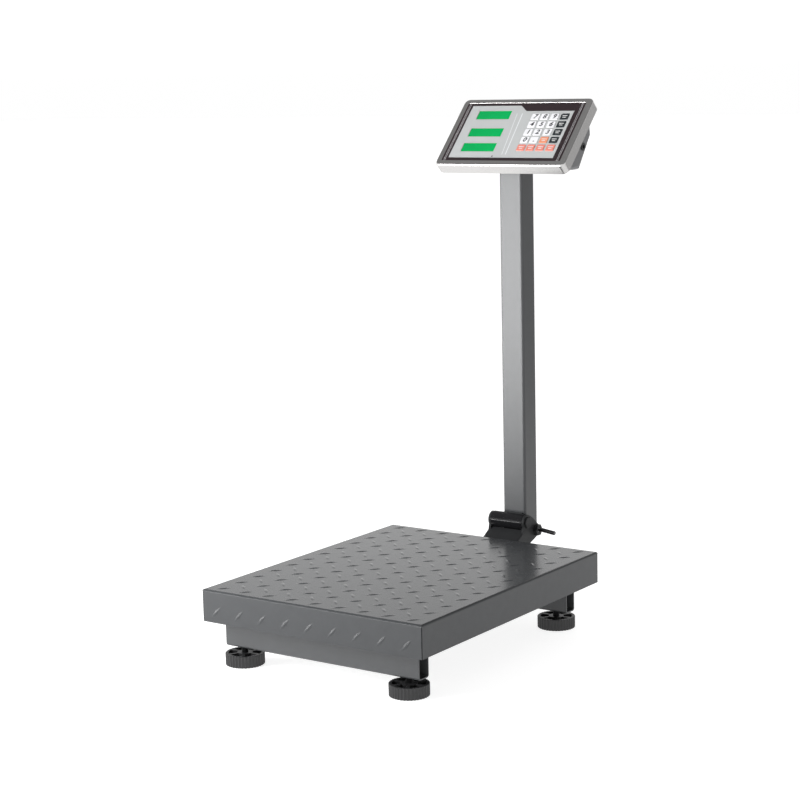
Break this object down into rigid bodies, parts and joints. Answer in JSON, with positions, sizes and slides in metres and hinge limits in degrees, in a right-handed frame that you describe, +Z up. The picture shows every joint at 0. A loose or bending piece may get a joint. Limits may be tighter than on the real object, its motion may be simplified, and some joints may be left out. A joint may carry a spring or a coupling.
{
  "type": "platform shipping scale",
  "caption": "Platform scale with a folded tread-plate pan on levelling feet, a folding square column and a tilting head with green displays and a keypad.",
  "frame": {"origin": "under the middle of the bounding box, at floor level", "axes": "+X to the right as the display is read, +Y to the back, +Z up"},
  "size_m": [0.4, 0.6522, 0.8307],
  "materials": {
    "charcoal_paint": "semi-gloss textured paint",
    "gloss_black_paint": "gloss paint",
    "zinc_steel": "zinc plated",
    "alloy": "machined",
    "rubber": "matt",
    "black_plastic": "moulded satin",
    "stainless": "brushed stainless",
    "grey_plastic": "moulded satin",
    "overlay": "printed film",
    "lcd_green": "backlit green",
    "board_green": "solder mask",
    "battery_grey": "moulded case",
    "key_white": "printed",
    "key_dark": "printed",
    "key_orange": "printed",
    "key_red": "printed"
  },
  "bodies": {
    "base": {"front_cross_tube": "charcoal_paint", "rear_cross_tube": "charcoal_paint", "base_spine": "charcoal_paint", "hinge_outrigger": "charcoal_paint", "load_cell": "alloy", "weigh_spine": "charcoal_paint", "weigh_rail_front": "charcoal_paint", "weigh_rail_rear": "charcoal_paint", "bumper_front_left": "rubber", "bumper_front_right": "rubber", "bumper_rear_left": "rubber", "bumper_rear_right": "rubber", "platform_pan": "charcoal_paint", "hinge_bracket": "gloss_black_paint", "hinge_pin": "gloss_black_paint"},
    "lock": {"lock_pin": "gloss_black_paint"},
    "column": {"hinge_barrel": "gloss_black_paint", "column_tube": "charcoal_paint", "column_neck": "gloss_black_paint"},
    "head": {"bezel": "stainless", "rear_cover": "grey_plastic", "overlay": "overlay", "lcd_weight": "lcd_green", "lcd_price": "lcd_green", "lcd_total": "lcd_green", "circuit_board": "board_green", "battery": "battery_grey", "dc_inlet": "black_plastic", "tilt_bolt": "zinc_steel"},
    "foot_stud_front_left": {"foot_stud_front_left": "zinc_steel"},
    "foot_pad_front_left": {"foot_pad_front_left": "black_plastic"},
    "foot_stud_front_right": {"foot_stud_front_right": "zinc_steel"},
    "foot_pad_front_right": {"foot_pad_front_right": "black_plastic"},
    "foot_stud_rear_left": {"foot_stud_rear_left": "zinc_steel"},
    "foot_pad_rear_left": {"foot_pad_rear_left": "black_plastic"},
    "foot_stud_rear_right": {"foot_stud_rear_right": "zinc_steel"},
    "foot_pad_rear_right": {"foot_pad_rear_right": "black_plastic"},
    "key_7": {"key_7": "key_white"},
    "key_8": {"key_8": "key_white"},
    "key_9": {"key_9": "key_white"},
    "key_dark_1": {"key_dark_1": "key_dark"},
    "key_4": {"key_4": "key_white"},
    "key_5": {"key_5": "key_white"},
    "key_6": {"key_6": "key_white"},
    "key_dark_2": {"key_dark_2": "key_dark"},
    "key_1": {"key_1": "key_white"},
    "key_2": {"key_2": "key_white"},
    "key_3": {"key_3": "key_white"},
    "key_dark_3": {"key_dark_3": "key_dark"},
    "key_0": {"key_0": "key_white"},
    "key_point": {"key_point": "key_white"},
    "key_orange": {"key_orange": "key_orange"},
    "key_dark_4": {"key_dark_4": "key_dark"},
    "key_red_1": {"key_red_1": "key_red"},
    "key_red_2": {"key_red_2": "key_red"},
    "key_red_3": {"key_red_3": "key_red"},
    "key_red_4": {"key_red_4": "key_red"}
  },
  "joints": [
    {"name": "column_fold", "type": "hinge", "parent": "base", "child": "column", "pos_m": [0, 0.23211, 0.1355], "axis": [1, 0, 0], "range_deg": [0, 90]},
    {"name": "lock_pull", "type": "slide", "parent": "base", "child": "lock", "axis": [1, 0, 0], "range_m": [0, 0.012], "stiffness_N_per_m": 400, "springref_m": -0.006},
    {"name": "head_tilt", "type": "hinge", "parent": "column", "child": "head", "pos_m": [0, 0.27111, 0.744], "axis": [1, 0, 0], "range_deg": [-10, 8]},
    {"name": "foot_height_front_left", "type": "slide", "parent": "base", "child": "foot_stud_front_left", "axis": [0, 0, -1], "range_m": [0, 0.003]},
    {"name": "foot_turn_front_left", "type": "hinge", "parent": "foot_stud_front_left", "child": "foot_pad_front_left", "pos_m": [-0.151, -0.28789, 0], "axis": [0, 0, -1], "range_deg": [0, 721]},
    {"name": "foot_height_front_right", "type": "slide", "parent": "base", "child": "foot_stud_front_right", "axis": [0, 0, -1], "range_m": [0, 0.003]},
    {"name": "foot_turn_front_right", "type": "hinge", "parent": "foot_stud_front_right", "child": "foot_pad_front_right", "pos_m": [0.151, -0.28789, 0], "axis": [0, 0, -1], "range_deg": [0, 721]},
    {"name": "foot_height_rear_left", "type": "slide", "parent": "base", "child": "foot_stud_rear_left", "axis": [0, 0, -1], "range_m": [0, 0.003]},
    {"name": "foot_turn_rear_left", "type": "hinge", "parent": "foot_stud_rear_left", "child": "foot_pad_rear_left", "pos_m": [-0.151, 0.12612, 0], "axis": [0, 0, -1], "range_deg": [0, 721]},
    {"name": "foot_height_rear_right", "type": "slide", "parent": "base", "child": "foot_stud_rear_right", "axis": [0, 0, -1], "range_m": [0, 0.003]},
    {"name": "foot_turn_rear_right", "type": "hinge", "parent": "foot_stud_rear_right", "child": "foot_pad_rear_right", "pos_m": [0.151, 0.12612, 0], "axis": [0, 0, -1], "range_deg": [0, 721]},
    {"name": "press_key_7", "type": "slide", "parent": "head", "child": "key_7", "axis": [0, 0.7193, -0.6947], "range_m": [0, 0.0005], "stiffness_N_per_m": 1000},
    {"name": "press_key_8", "type": "slide", "parent": "head", "child": "key_8", "axis": [0, 0.7193, -0.6947], "range_m": [0, 0.0005], "stiffness_N_per_m": 1000},
    {"name": "press_key_9", "type": "slide", "parent": "head", "child": "key_9", "axis": [0, 0.7193, -0.6947], "range_m": [0, 0.0005], "stiffness_N_per_m": 1000},
    {"name": "press_key_dark_1", "type": "slide", "parent": "head", "child": "key_dark_1", "axis": [0, 0.7193, -0.6947], "range_m": [0, 0.0005], "stiffness_N_per_m": 1000},
    {"name": "press_key_4", "type": "slide", "parent": "head", "child": "key_4", "axis": [0, 0.7193, -0.6947], "range_m": [0, 0.0005], "stiffness_N_per_m": 1000},
    {"name": "press_key_5", "type": "slide", "parent": "head", "child": "key_5", "axis": [0, 0.7193, -0.6947], "range_m": [0, 0.0005], "stiffness_N_per_m": 1000},
    {"name": "press_key_6", "type": "slide", "parent": "head", "child": "key_6", "axis": [0, 0.7193, -0.6947], "range_m": [0, 0.0005], "stiffness_N_per_m": 1000},
    {"name": "press_key_dark_2", "type": "slide", "parent": "head", "child": "key_dark_2", "axis": [0, 0.7193, -0.6947], "range_m": [0, 0.0005], "stiffness_N_per_m": 1000},
    {"name": "press_key_1", "type": "slide", "parent": "head", "child": "key_1", "axis": [0, 0.7193, -0.6947], "range_m": [0, 0.0005], "stiffness_N_per_m": 1000},
    {"name": "press_key_2", "type": "slide", "parent": "head", "child": "key_2", "axis": [0, 0.7193, -0.6947], "range_m": [0, 0.0005], "stiffness_N_per_m": 1000},
    {"name": "press_key_3", "type": "slide", "parent": "head", "child": "key_3", "axis": [0, 0.7193, -0.6947], "range_m": [0, 0.0005], "stiffness_N_per_m": 1000},
    {"name": "press_key_dark_3", "type": "slide", "parent": "head", "child": "key_dark_3", "axis": [0, 0.7193, -0.6947], "range_m": [0, 0.0005], "stiffness_N_per_m": 1000},
    {"name": "press_key_0", "type": "slide", "parent": "head", "child": "key_0", "axis": [0, 0.7193, -0.6947], "range_m": [0, 0.0005], "stiffness_N_per_m": 1000},
    {"name": "press_key_point", "type": "slide", "parent": "head", "child": "key_point", "axis": [0, 0.7193, -0.6947], "range_m": [0, 0.0005], "stiffness_N_per_m": 1000},
    {"name": "press_key_orange", "type": "slide", "parent": "head", "child": "key_orange", "axis": [0, 0.7193, -0.6947], "range_m": [0, 0.0005], "stiffness_N_per_m": 1000},
    {"name": "press_key_dark_4", "type": "slide", "parent": "head", "child": "key_dark_4", "axis": [0, 0.7193, -0.6947], "range_m": [0, 0.0005], "stiffness_N_per_m": 1000},
    {"name": "press_key_red_1", "type": "slide", "parent": "head", "child": "key_red_1", "axis": [0, 0.7193, -0.6947], "range_m": [0, 0.0005], "stiffness_N_per_m": 1000},
    {"name": "press_key_red_2", "type": "slide", "parent": "head", "child": "key_red_2", "axis": [0, 0.7193, -0.6947], "range_m": [0, 0.0005], "stiffness_N_per_m": 1000},
    {"name": "press_key_red_3", "type": "slide", "parent": "head", "child": "key_red_3", "axis": [0, 0.7193, -0.6947], "range_m": [0, 0.0005], "stiffness_N_per_m": 1000},
    {"name": "press_key_red_4", "type": "slide", "parent": "head", "child": "key_red_4", "axis": [0, 0.7193, -0.6947], "range_m": [0, 0.0005], "stiffness_N_per_m": 1000}
  ],
  "couplings": [
    {"joint": "foot_turn_front_left", "follows": "foot_height_front_left", "rad_per_m": 4188.8},
    {"joint": "foot_turn_front_right", "follows": "foot_height_front_right", "rad_per_m": 4188.8},
    {"joint": "foot_turn_rear_left", "follows": "foot_height_rear_left", "rad_per_m": 4188.8},
    {"joint": "foot_turn_rear_right", "follows": "foot_height_rear_right", "rad_per_m": 4188.8}
  ]
}
